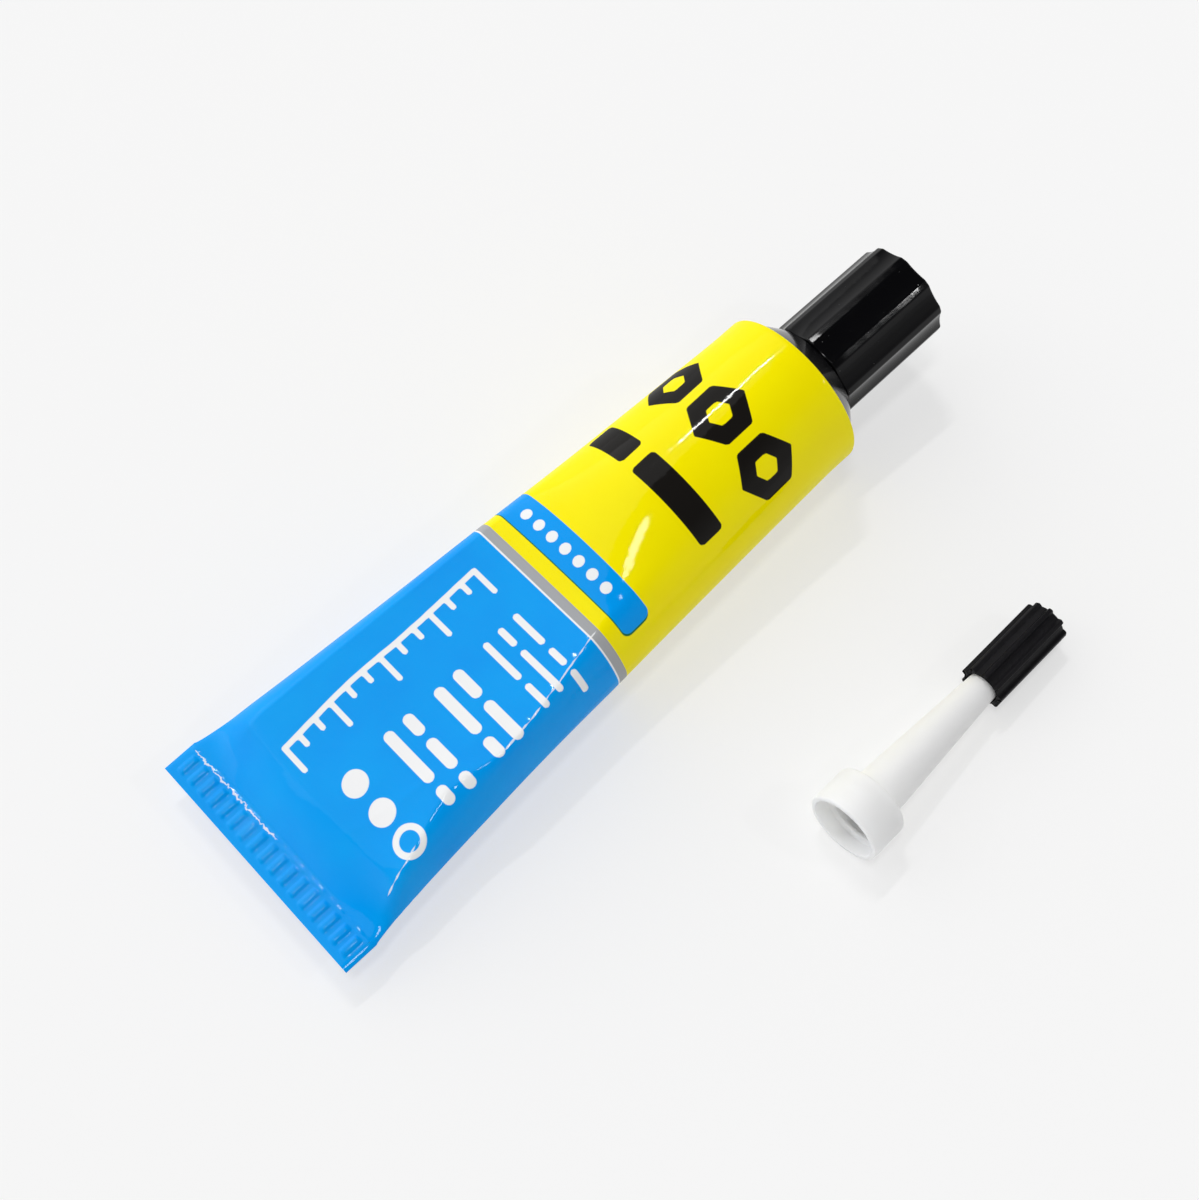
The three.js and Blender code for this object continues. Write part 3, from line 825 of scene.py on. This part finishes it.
def tip_cap():
    angles = turned_angles(TIP_CAP_COLUMNS)
    wall = cone_radius(TIP_CAP_MOUTH_X) + FIT_GAP + TIP_CAP_WALL
    step = 2 * math.pi / TIP_CAP_RIBS
    off_rib = np.abs((angles - math.pi / 2 + step / 2) % step - step / 2) * (wall + TIP_CAP_RIB_HEIGHT / 2)
    rib = 1 - smooth_step(off_rib, TIP_CAP_RIB_WIDTH / 2 - RIB_FOOT, TIP_CAP_RIB_WIDTH / 2 + RIB_FOOT / 2)

    def ribbed(x, inset, height):
        radius = wall - inset + (TIP_CAP_RIB_HEIGHT - height) * rib
        return np.stack([np.full_like(angles, x), radius * np.cos(angles), radius * np.sin(angles)], -1)

    turn = np.linspace(0, math.pi / 2, ROUND_STEPS + 1)
    mouth = [ribbed(TIP_CAP_MOUTH_X + 0.2 * (1 - math.sin(a)), 0.15 * (1 - math.sin(a)), 0) for a in turn]
    inner = turned_rings([
        (TIP_CAP_BORE_END_X, 0.1),
        (TIP_CAP_BORE_END_X, cone_radius(TIP_CAP_BORE_END_X) + FIT_GAP - 0.1),
        (TIP_CAP_MOUTH_X, cone_radius(TIP_CAP_MOUTH_X) + FIT_GAP),
    ], angles)
    side = [ribbed(x, 0, 0) for x in np.linspace(TIP_CAP_MOUTH_X + 0.3, TIP_CAP_END_X - TIP_CAP_EDGE, 6)]
    end = []
    for a in turn[1:]:
        inset = TIP_CAP_EDGE * (1 - math.cos(a))
        end.append(ribbed(TIP_CAP_END_X - TIP_CAP_EDGE * (1 - math.sin(a)), inset, 0))
    closing = [ribbed(TIP_CAP_END_X, wall - 0.6, TIP_CAP_RIB_HEIGHT)]
    rings = np.concatenate([inner, mouth, side, end, closing])
    return add_piece("tip_cover", rings, NOZZLE, satin_black(), "nozzle_cover", "nozzle_cap")


# Materials


# The part of a noise texture's range that most of it lies in.
NOISE_RANGE = (0.3, 0.7)

# How strongly the two black mouldings mirror the room.
CAP_SHINE = 0.16
SHOULDER_SHINE = 0.7


def srgb(red, green, blue):
    """Linear colour from 8-bit display values."""
    parts = [v / 255 for v in (red, green, blue)]
    return tuple(v / 12.92 if v <= 0.04045 else ((v + 0.055) / 1.055) ** 2.4 for v in parts) + (1,)


def add_node(tree, kind, inputs, **settings):
    """Node with its settings, and its inputs set to values or linked to sockets."""
    node = tree.nodes.new(kind)
    for name, value in settings.items():
        setattr(node, name, value)
    for name, value in inputs.items():
        if isinstance(value, bpy.types.NodeSocket):
            tree.links.new(value, node.inputs[name])
        else:
            node.inputs[name].default_value = value
    return node


def new_material(name, **sockets):
    material = bpy.data.materials.new(name)
    material.use_nodes = True
    shader = material.node_tree.nodes["Principled BSDF"]
    for socket, value in sockets.items():
        shader.inputs[socket.replace("_", " ")].default_value = value
    return material, material.node_tree, shader


def place_on(tree):
    return add_node(tree, "ShaderNodeTexCoord", {}).outputs["Object"]


def noise(tree, size, detail=2.0):
    """Noise whose lumps are about size millimetres across."""
    inputs = {"Vector": place_on(tree), "Scale": 1 / (size * MM), "Detail": detail}
    return add_node(tree, "ShaderNodeTexNoise", inputs).outputs["Fac"]


def ramp(tree, value, low, high, start=0.0, end=1.0):
    """Value turned from the range low to high into the range start to end."""
    inputs = {"Value": value, "From Min": low, "From Max": high, "To Min": start, "To Max": end}
    return add_node(tree, "ShaderNodeMapRange", inputs).outputs["Result"]


def blend(tree, share, first, second):
    node = add_node(tree, "ShaderNodeMix", {0: share, 6: first, 7: second}, data_type="RGBA")
    return node.outputs[2]


def bump(tree, height, depth, under=None):
    """Normal of a surface whose relief is depth millimetres high."""
    inputs = {"Height": height, "Distance": depth * MM, "Strength": 1.0}
    if under is not None:
        inputs["Normal"] = under
    return add_node(tree, "ShaderNodeBump", inputs).outputs["Normal"]


def mottled(tree, size, first, second, detail=2.0):
    """Value or colour that drifts between two, in patches about size millimetres across."""
    share = ramp(tree, noise(tree, size, detail), *NOISE_RANGE)
    return blend(tree, share, first, second)


def rough(tree, shader, size, low, high, detail=2.0):
    """Roughness that drifts between low and high, in patches about size millimetres across."""
    drift = ramp(tree, noise(tree, size, detail), *NOISE_RANGE, low, high)
    tree.links.new(drift, shader.inputs["Roughness"])


def calculate(tree, operation, first, second=0.0):
    node = add_node(tree, "ShaderNodeMath", {0: first, 1: second}, operation=operation)
    return node.outputs["Value"]


def field(tree, name):
    return add_node(tree, "ShaderNodeAttribute", {}, attribute_name=name).outputs["Fac"]


INK_EDGE = 0.05
BLUE = srgb(0, 156, 245)
YELLOW = srgb(253, 236, 0)
SILVER = srgb(168, 170, 173)
WHITE = srgb(246, 247, 248)
BLACK = srgb(24, 22, 20)
OVERPRINT = srgb(16, 110, 58)
# Strength and wander of the painted highlight lines.
GLINT_STRENGTH = 0.8
GLINT_WANDER = 0.9


def laminate():
    """Glossy printed sheet: colour fields parted by a stripe, inks on them, painted highlights along the crease
    and the weld, and fine wrinkles in the gloss.
    """
    material, tree, shader = new_material(
        "printed_laminate", Roughness=0.3, Specular_IOR_Level=0.0, Coat_Weight=0.3, Coat_Roughness=0.05)

    def printed(name):
        return ramp(tree, field(tree, name), INK_EDGE, -INK_EDGE)

    def past(place):
        return ramp(tree, field(tree, "along"), place - INK_EDGE, place + INK_EDGE)

    # Painted highlight: a white line along the crease and the weld's inner end, in place of their glint.
    def painted_glint():
        reach = ramp(tree, field(tree, "along"), WELD_GLINT_REACH, GLINT_SWITCH, WELD_STRAY, CREASE_STRAY)
        wander = ramp(tree, noise(tree, GLINT_WANDER), *NOISE_RANGE, -1.0, 1.0)
        stray = calculate(tree, "MULTIPLY", wander, reach)
        off = calculate(tree, "ABSOLUTE", calculate(tree, "ADD", field(tree, "off_glint"), stray))
        inside = calculate(tree, "SUBTRACT", field(tree, "painted_glint_width"), off)
        return ramp(tree, inside, -INK_EDGE, INK_EDGE, 0.0, GLINT_STRENGTH)

    mottle = ramp(tree, noise(tree, 9.0), *NOISE_RANGE)
    colour = blend(tree, mottle, BLUE, srgb(0, 163, 247))
    colour = blend(tree, past(STRIPE_START - HAIRLINE), colour, WHITE)
    colour = blend(tree, past(STRIPE_START), colour, SILVER)
    yellow = blend(tree, mottle, YELLOW, srgb(254, 240, 0))
    colour = blend(tree, past(STRIPE_END), colour, yellow)
    colour = blend(tree, printed("ink_overprint"), colour, OVERPRINT)
    colour = blend(tree, printed("ink_band"), colour, BLUE)
    colour = blend(tree, printed("ink_black"), colour, BLACK)
    colour = blend(tree, printed("ink_white"), colour, WHITE)
    # Painted highlight laid over the print.
    colour = blend(tree, painted_glint(), colour, WHITE)
    tree.links.new(colour, shader.inputs["Base Color"])
    rough(tree, shader, 3.0, 0.24, 0.36)
    waves = bump(tree, noise(tree, 5.0, 3.0), 0.05)
    grain = bump(tree, noise(tree, 0.5, 2.0), 0.004, waves)
    tree.links.new(grain, shader.inputs["Normal"])
    tree.links.new(grain, shader.inputs["Coat Normal"])
    return material


def gloss_black(name, level):
    """Polished moulding with faint flow marks and a few specks of dust."""
    material, tree, shader = new_material(name, Specular_IOR_Level=level)
    dust = ramp(tree, noise(tree, 0.35, 1.0), 0.80, 0.83)
    colour = blend(tree, dust, srgb(7, 7, 9), srgb(150, 150, 150))
    tree.links.new(colour, shader.inputs["Base Color"])
    rough(tree, shader, 2.5, 0.07, 0.15, 3.0)
    tree.links.new(bump(tree, noise(tree, 1.6, 2.0), 0.012), shader.inputs["Normal"])
    return material


def satin_black():
    """Fine-grained moulding."""
    material, tree, shader = new_material("black_satin", Specular_IOR_Level=0.15)
    colour = mottled(tree, 1.2, srgb(10, 9, 12), srgb(15, 14, 18))
    tree.links.new(colour, shader.inputs["Base Color"])
    rough(tree, shader, 0.8, 0.38, 0.5)
    tree.links.new(bump(tree, noise(tree, 0.12, 2.0), 0.006), shader.inputs["Normal"])
    return material


def natural_plastic():
    """Milky polyethylene: frosted, with light scattered in its wall."""
    material, tree, shader = new_material(
        "natural_polyethylene", Subsurface_Weight=1.0, Subsurface_Scale=1.5 * MM,
        Subsurface_Radius=(1.0, 1.0, 1.0), Specular_IOR_Level=0.2)
    colour = mottled(tree, 6.0, srgb(253, 253, 251), srgb(255, 255, 254))
    tree.links.new(colour, shader.inputs["Base Color"])
    rough(tree, shader, 2.0, 0.45, 0.55)
    tree.links.new(bump(tree, noise(tree, 0.6, 2.0), 0.01), shader.inputs["Normal"])
    return material


def clear_cement():
    material, tree, shader = new_material("cement", Transmission_Weight=0.8)
    colour = mottled(tree, 8.0, srgb(236, 230, 210), srgb(244, 240, 226))
    tree.links.new(colour, shader.inputs["Base Color"])
    rough(tree, shader, 4.0, 0.08, 0.2)
    return material


def seal_foil():
    material, tree, shader = new_material("seal_foil", Metallic=1.0)
    colour = mottled(tree, 1.0, srgb(206, 208, 212), srgb(228, 229, 232))
    tree.links.new(colour, shader.inputs["Base Color"])
    rough(tree, shader, 0.7, 0.22, 0.36)
    tree.links.new(bump(tree, noise(tree, 0.5, 3.0), 0.03), shader.inputs["Normal"])
    return material


def liner_foam():
    material, tree, shader = new_material("liner_foam", Specular_IOR_Level=0.3)
    colour = mottled(tree, 0.5, srgb(228, 228, 222), srgb(240, 240, 236))
    tree.links.new(colour, shader.inputs["Base Color"])
    rough(tree, shader, 0.4, 0.6, 0.8)
    tree.links.new(bump(tree, noise(tree, 0.25, 2.0), 0.03), shader.inputs["Normal"])
    return material


def table_top():
    """White table that keeps the shadows, with a glow in its white that is seen and lights nothing matt."""
    material, tree, shader = new_material("table_top", Specular_IOR_Level=0.0, Roughness=0.9)
    colour = mottled(tree, 60.0, srgb(249, 249, 249), srgb(250, 250, 250))
    tree.links.new(colour, shader.inputs["Base Color"])
    rays = add_node(tree, "ShaderNodeLightPath", {}).outputs
    seen = calculate(tree, "MAXIMUM", rays["Is Camera Ray"], rays["Is Glossy Ray"])
    seen = calculate(tree, "MAXIMUM", seen, rays["Is Transmission Ray"])
    glow = add_node(tree, "ShaderNodeEmission", {"Color": srgb(249, 249, 249), "Strength": 1.0})
    share = calculate(tree, "MULTIPLY", seen, TABLE_GLOW)
    shaders = {0: share, 1: shader.outputs["BSDF"], 2: glow.outputs["Emission"]}
    both = add_node(tree, "ShaderNodeMixShader", shaders)
    tree.links.new(both.outputs["Shader"], tree.nodes["Material Output"].inputs["Surface"])
    return material


# Stage, light and camera

FLOOR_SIZE = 6000.0
TABLE_GLOW = 0.6

# Room: heights are sines of the elevation, and FAR_WALL holds cosines of the turn from the bright wall.
WALL_STRENGTH = 1.15
CEILING_STRENGTH = 0.16
WALL_TOP = 0.35
CEILING_EDGE = 0.75
WALL_AZIMUTH = 125.0
FAR_WALL_SHARE = 0.5
FAR_WALL = (0.1, 0.7)
SKIRTING = (0.14, 0.24)
SKIRTING_SHARE = 0.6
SUN_STRENGTH = 1.0
SUN_AZIMUTH = 105.0
SUN_ELEVATION = 46.0
SUN_ANGLE = 70.0

# Lamps: the place on the tube they are aimed at, direction from there, distance, length, width and radiance.
LAMPS = {
    "strip": ((91.0, 0.0, 12.2), (0.275, 0.42, 0.865), 1400.0, 260.0, 40.0, 110.0),
    "spot": ((120.0, -4.0, 6.0), (0.46, -0.61, 0.645), 1400.0, 40.0, 40.0, 250.0),
    "overhead": ((36.0, -12.0, 6.0), (-0.05, -0.1, 0.99), 1400.0, 320.0, 160.0, 25.0),
}

# Camera: where it looks, how far off, how it is turned, and the lens for a photograph 1199 by 1200 pixels.
CAMERA_TARGET = (-0.43, 17.47, 0.0)
CAMERA_DISTANCE = 272.16
CAMERA_YAW = 52.75
CAMERA_TILT = 27.52
CAMERA_ROLL = -6.19
FOCAL_PIXELS = 1892.24
PHOTO_HEIGHT = 1200
SENSOR = 36.0


def floor():
    mesh = bpy.data.meshes.new("floor")
    half = FLOOR_SIZE / 2 * MM
    corners = [(-half, -half, 0), (half, -half, 0), (half, half, 0), (-half, half, 0)]
    mesh.from_pydata(corners, [], [(0, 1, 2, 3)])
    mesh.materials.append(table_top())
    plane = bpy.data.objects.new("floor", mesh)
    bpy.context.scene.collection.objects.link(plane)


def world():
    """A bright wall on the left, dimmer walls elsewhere with a bright foot, and a dim ceiling."""
    sky = bpy.data.worlds.new("studio")
    sky.use_nodes = True
    tree = sky.node_tree
    background = tree.nodes["Background"]
    background.inputs["Color"].default_value = (1, 1, 1, 1)
    way = add_node(tree, "ShaderNodeTexCoord", {}).outputs["Generated"]
    height = add_node(tree, "ShaderNodeSeparateXYZ", {"Vector": way}).outputs["Z"]
    wall = tuple(direction(WALL_AZIMUTH, 0))
    towards = add_node(tree, "ShaderNodeVectorMath", {0: way, 1: wall}, operation="DOT_PRODUCT")
    share = ramp(tree, towards.outputs["Value"], *FAR_WALL, FAR_WALL_SHARE, 1.0)
    share = calculate(tree, "MAXIMUM", share, ramp(tree, height, *SKIRTING, SKIRTING_SHARE, 0.0))
    strength = ramp(tree, height, WALL_TOP, CEILING_EDGE, WALL_STRENGTH, CEILING_STRENGTH)
    tree.links.new(calculate(tree, "MULTIPLY", strength, share), background.inputs["Strength"])
    bpy.context.scene.world = sky


def direction(azimuth, elevation):
    turn, rise = math.radians(azimuth), math.radians(elevation)
    return Vector((math.cos(rise) * math.cos(turn), math.cos(rise) * math.sin(turn), math.sin(rise)))


def add_light(name, kind, towards, place):
    """Light that shines back along a direction, with its long side along the tube."""
    light = bpy.data.lights.new(name, kind)
    lamp = bpy.data.objects.new(name, light)
    across = towards.cross(TUBE.col[0].xyz).normalized()
    turn = Matrix((across.cross(towards), across, towards)).transposed().to_4x4()
    lamp.matrix_world = Matrix.Translation(place) @ turn
    bpy.context.scene.collection.objects.link(lamp)
    return light


def lights():
    sun_way = direction(SUN_AZIMUTH, SUN_ELEVATION)
    sun = add_light("sun", "SUN", sun_way, sun_way)
    sun.energy = SUN_STRENGTH
    sun.angle = math.radians(SUN_ANGLE)
    for name, (aim, way, distance, length, width, radiance) in LAMPS.items():
        way = (TUBE.to_3x3() @ Vector(way)).normalized()
        lamp = add_light(name, "AREA", way, TUBE @ Vector(aim) + way * distance * MM)
        lamp.shape = "RECTANGLE"
        lamp.size = length * MM
        lamp.size_y = width * MM
        lamp.energy = radiance * math.pi * lamp.size * lamp.size_y


def camera():
    yaw, tilt, roll = (math.radians(a) for a in (CAMERA_YAW, CAMERA_TILT, CAMERA_ROLL))
    ahead = Vector((math.cos(yaw), math.sin(yaw), 0))
    forward = Vector((0, 0, -1)) * math.cos(tilt) + ahead * math.sin(tilt)
    level_up = Vector((0, 0, 1)) * math.sin(tilt) + ahead * math.cos(tilt)
    level_right = forward.cross(level_up)
    right = level_right * math.cos(roll) + level_up * math.sin(roll)
    up = level_up * math.cos(roll) - level_right * math.sin(roll)
    data = bpy.data.cameras.new("camera")
    data.sensor_width = SENSOR
    data.lens = FOCAL_PIXELS * SENSOR / PHOTO_HEIGHT
    eye = bpy.data.objects.new("camera", data)
    turn = Matrix((right, up, -forward)).transposed().to_4x4()
    place = (Vector(CAMERA_TARGET) - forward * CAMERA_DISTANCE) * MM
    eye.matrix_world = Matrix.Translation(place) @ turn
    bpy.context.scene.collection.objects.link(eye)
    bpy.context.scene.camera = eye


camera()
world()
lights()
floor()
sleeve()
cement()
shoulder()
membrane()
liner()
screw_cap()
nozzle()
tip_cap()

bpy.context.scene.view_settings.view_transform = "Standard"
